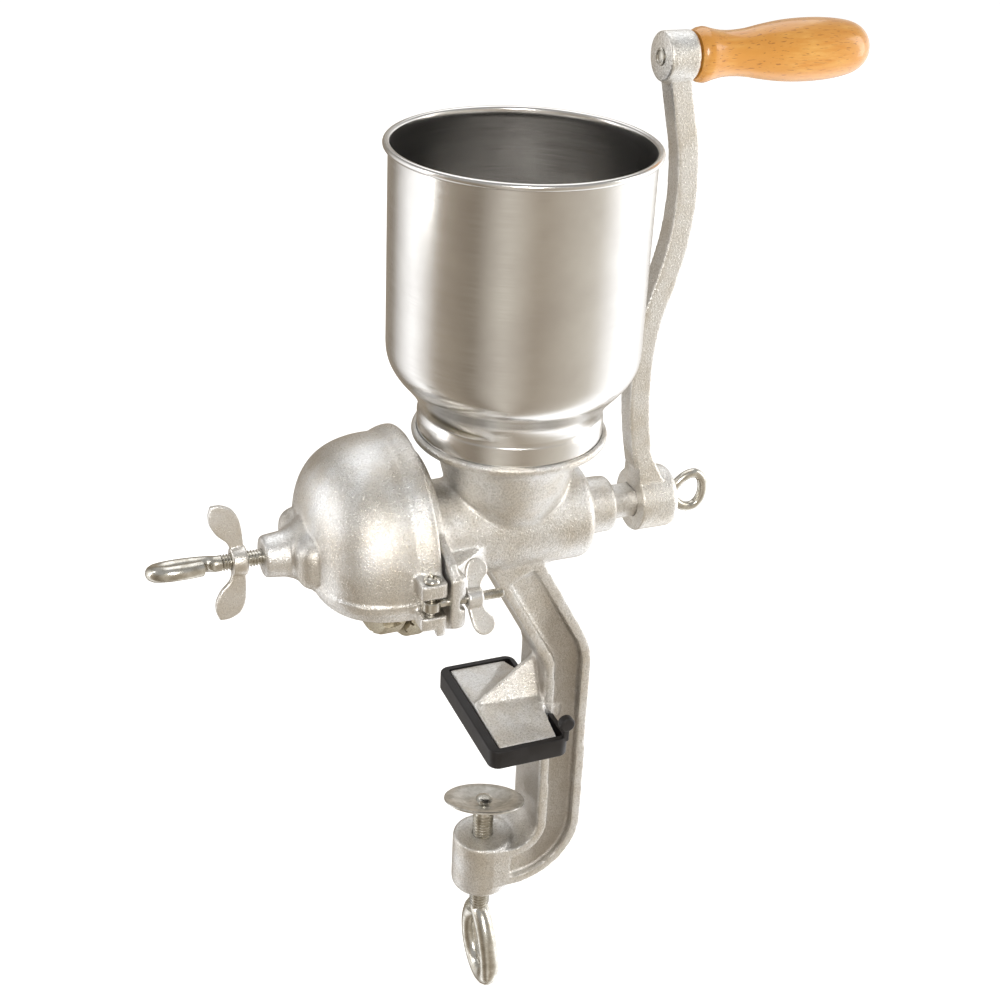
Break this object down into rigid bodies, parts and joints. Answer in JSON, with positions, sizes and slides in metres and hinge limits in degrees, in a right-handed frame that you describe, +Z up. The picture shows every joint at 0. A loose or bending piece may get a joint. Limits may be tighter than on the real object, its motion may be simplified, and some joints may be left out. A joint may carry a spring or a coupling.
{
  "type": "hand-cranked grain mill",
  "caption": "Cast hand-cranked grain mill with an open metal hopper, a domed burr cover, a curved crank with a wooden grip, and a table clamp.",
  "frame": {"origin": "underside of the rubber boot on the clamp's upper jaw, on the clamp screw's axis", "axes": "+Z up; the auger's axis runs along X, with the crank on +X and the adjusting screw on -X; -Y is the side with the boot's knob"},
  "size_m": [0.366, 0.1428, 0.5665],
  "materials": {
    "tinned_cast_iron": "tinned, bright warm silver with a fine cast grain",
    "bare_burr_iron": "bare ground cast iron",
    "spun_steel": "spun tinplate, satin with a brighter rim and shoulder",
    "zinc_plated_steel": "bright zinc plating",
    "varnished_hardwood": "turned hardwood with an amber varnish",
    "black_rubber": "black, satin"
  },
  "bodies": {
    "housing": {"body_casting": "tinned_cast_iron", "jaw_boot": "black_rubber", "stationary_burr": "bare_burr_iron", "burr_screw_1": "zinc_plated_steel", "burr_screw_2": "zinc_plated_steel", "burr_screw_3": "zinc_plated_steel", "front_cover": "tinned_cast_iron", "cover_pivot_screw_near": "zinc_plated_steel", "cover_pivot_screw_far": "zinc_plated_steel"},
    "hopper_body": {"hopper": "spun_steel"},
    "thrust_bearing": {"thrust_ball": "zinc_plated_steel"},
    "adjuster": {"adjusting_screw": "zinc_plated_steel"},
    "lock_nut": {"adjusting_lock_nut": "zinc_plated_steel"},
    "rotor": {"worm_auger": "tinned_cast_iron", "rotating_burr": "bare_burr_iron", "burr_drive_pin": "zinc_plated_steel", "crank_arm": "tinned_cast_iron", "grip_pin": "zinc_plated_steel", "grip_washer": "zinc_plated_steel"},
    "grip": {"wooden_grip": "varnished_hardwood"},
    "crank_lock": {"crank_eye_screw": "zinc_plated_steel"},
    "near_bolt": {"swing_bolt_near": "zinc_plated_steel"},
    "far_bolt": {"swing_bolt_far": "zinc_plated_steel"},
    "near_wing_nut": {"swing_wing_nut_near": "zinc_plated_steel"},
    "far_wing_nut": {"swing_wing_nut_far": "zinc_plated_steel"},
    "clamp_bearing": {"clamp_washer": "zinc_plated_steel"},
    "clamp_spindle": {"clamp_screw": "zinc_plated_steel"},
    "clamp_pad": {"clamp_disc": "zinc_plated_steel"}
  },
  "joints": [
    {"name": "hopper_lift", "type": "slide", "parent": "housing", "child": "hopper_body", "axis": [0, 0, 1], "range_m": [0, 0.06]},
    {"name": "burr_gap", "type": "slide", "parent": "housing", "child": "thrust_bearing", "axis": [1, 0, 0], "range_m": [-0.003, 0]},
    {"name": "adjusting_screw_turn", "type": "hinge", "parent": "thrust_bearing", "child": "adjuster", "pos_m": [0.0033, 0, 0.1295], "axis": [1, 0, 0], "range_deg": [-865, 1]},
    {"name": "lock_nut_turn", "type": "hinge", "parent": "adjuster", "child": "lock_nut", "pos_m": [0.0033, 0, 0.1295], "axis": [1, 0, 0], "continuous": true},
    {"name": "crank_turn", "type": "hinge", "parent": "thrust_bearing", "child": "rotor", "pos_m": [0.0033, 0, 0.1295], "axis": [1, 0, 0], "continuous": true},
    {"name": "grip_turn", "type": "hinge", "parent": "rotor", "child": "grip", "pos_m": [0.1333, 0, 0.3655], "axis": [1, 0, 0], "continuous": true},
    {"name": "crank_lock_turn", "type": "hinge", "parent": "rotor", "child": "crank_lock", "pos_m": [0.1033, 0, 0.1295], "axis": [1, 0, 0], "continuous": true},
    {"name": "near_bolt_swing", "type": "hinge", "parent": "housing", "child": "near_bolt", "pos_m": [-0.0587, -0.0606, 0.125], "axis": [0, 0, -1], "range_deg": [0, 100]},
    {"name": "far_bolt_swing", "type": "hinge", "parent": "housing", "child": "far_bolt", "pos_m": [-0.0587, 0.0606, 0.125], "axis": [0, 0, 1], "range_deg": [0, 100]},
    {"name": "near_nut_turn", "type": "hinge", "parent": "near_bolt", "child": "near_wing_nut", "pos_m": [-0.0367, -0.0606, 0.125], "axis": [1, 0, 0], "continuous": true},
    {"name": "far_nut_turn", "type": "hinge", "parent": "far_bolt", "child": "far_wing_nut", "pos_m": [-0.0367, 0.0606, 0.125], "axis": [1, 0, 0], "continuous": true},
    {"name": "clamp_rise", "type": "slide", "parent": "housing", "child": "clamp_bearing", "axis": [0, 0, 1], "range_m": [-0.014, 0.015]},
    {"name": "clamp_screw_turn", "type": "hinge", "parent": "clamp_bearing", "child": "clamp_spindle", "pos_m": [0, 0, -0.12], "axis": [0, 0, 1], "range_deg": [-2521, 2701]},
    {"name": "clamp_disc_tilt", "type": "hinge", "parent": "clamp_bearing", "child": "clamp_pad", "pos_m": [0, 0, -0.0586], "axis": [-0.9191, 0.3939, 0], "range_deg": [-36, 0]}
  ],
  "couplings": [
    {"joint": "adjusting_screw_turn", "follows": "burr_gap", "rad_per_m": 5026.5},
    {"joint": "clamp_screw_turn", "follows": "clamp_rise", "rad_per_m": 3141.6}
  ]
}
